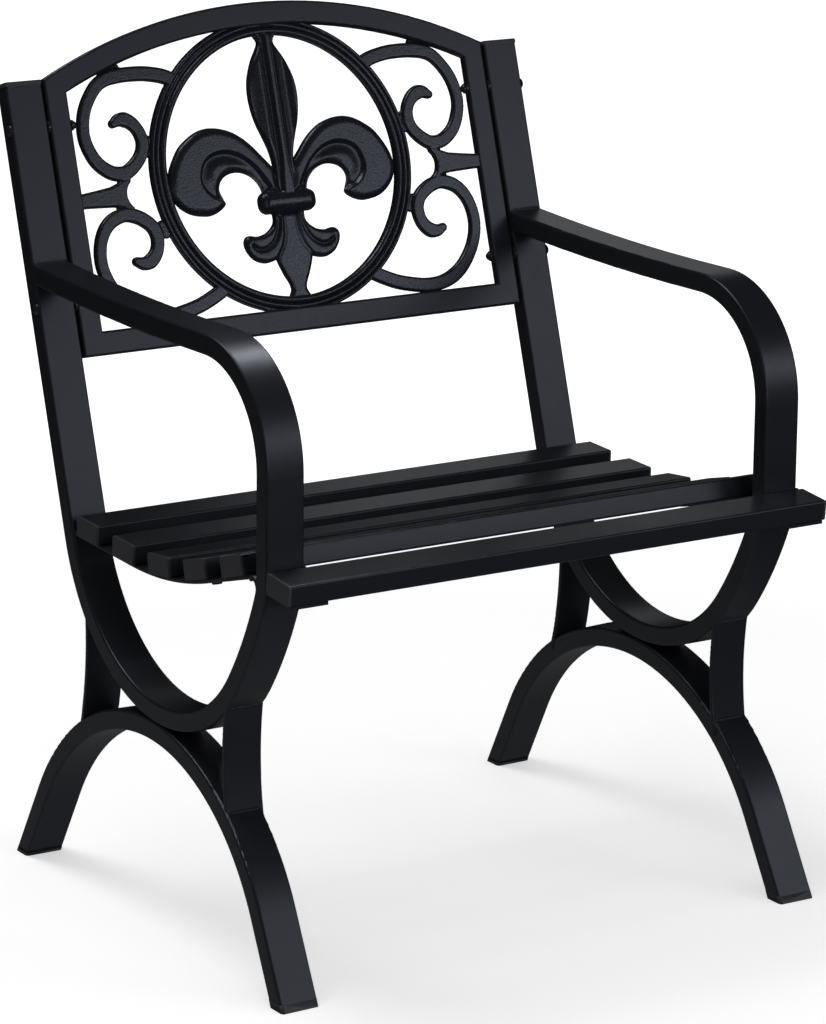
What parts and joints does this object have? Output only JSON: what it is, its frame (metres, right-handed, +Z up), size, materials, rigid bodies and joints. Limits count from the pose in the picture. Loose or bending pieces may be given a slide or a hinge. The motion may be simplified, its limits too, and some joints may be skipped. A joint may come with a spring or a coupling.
{
  "type": "garden armchair",
  "caption": "Slatted metal garden armchair with bent tube side frames, arched legs, curved arms and a framed cast back panel with ring, scrolls and fleur-de-lis.",
  "frame": {"origin": "on the ground, under the middle of the chair's overall width and depth", "axes": "+Z up; the chair faces -Y, so +Y points to its back; +X is to the right of someone who looks at its front"},
  "size_m": [0.6138, 0.578, 0.8422],
  "materials": {
    "frame_tube": "black satin powder coat on steel tube",
    "slat_tube": "black satin powder coat on steel tube",
    "panel_tube": "black satin powder coat on steel tube",
    "flat_bar": "black satin powder coat on steel flat bar",
    "casting": "black coated sand casting, slightly rough",
    "plastic_cap": "moulded black plastic",
    "fastener": "black zinc plated steel"
  },
  "bodies": {
    "root": {"left_side_loop": "frame_tube", "right_side_loop": "frame_tube", "left_leg_arch": "frame_tube", "right_leg_arch": "frame_tube", "left_front_brace": "flat_bar", "right_front_brace": "flat_bar", "left_rear_brace": "flat_bar", "right_rear_brace": "flat_bar", "left_seat_rail": "flat_bar", "right_seat_rail": "flat_bar", "left_front_slat_bracket": "flat_bar", "right_front_slat_bracket": "flat_bar", "left_slat_caps": "plastic_cap", "right_slat_caps": "plastic_cap", "left_seat_screws": "fastener", "right_seat_screws": "fastener", "left_post_cap": "plastic_cap", "right_post_cap": "plastic_cap", "left_front_foot_cap": "plastic_cap", "right_front_foot_cap": "plastic_cap", "left_rear_foot_cap": "plastic_cap", "right_rear_foot_cap": "plastic_cap", "left_back_side_rail": "panel_tube", "right_back_side_rail": "panel_tube", "left_upper_scroll": "casting", "right_upper_scroll": "casting", "left_lower_scroll": "casting", "right_lower_scroll": "casting", "left_scroll_spacer": "casting", "right_scroll_spacer": "casting", "left_panel_bolts": "fastener", "right_panel_bolts": "fastener", "left_panel_dome_nuts": "fastener", "right_panel_dome_nuts": "fastener", "left_panel_washers": "fastener", "right_panel_washers": "fastener", "seat_slat_1": "slat_tube", "seat_slat_2": "slat_tube", "seat_slat_3": "slat_tube", "seat_slat_4": "slat_tube", "seat_slat_5": "slat_tube", "seat_slat_6": "slat_tube", "back_bottom_rail": "panel_tube", "back_top_rail": "panel_tube", "cast_ring": "casting", "cast_fleur_de_lis": "casting"}
  },
  "joints": []
}
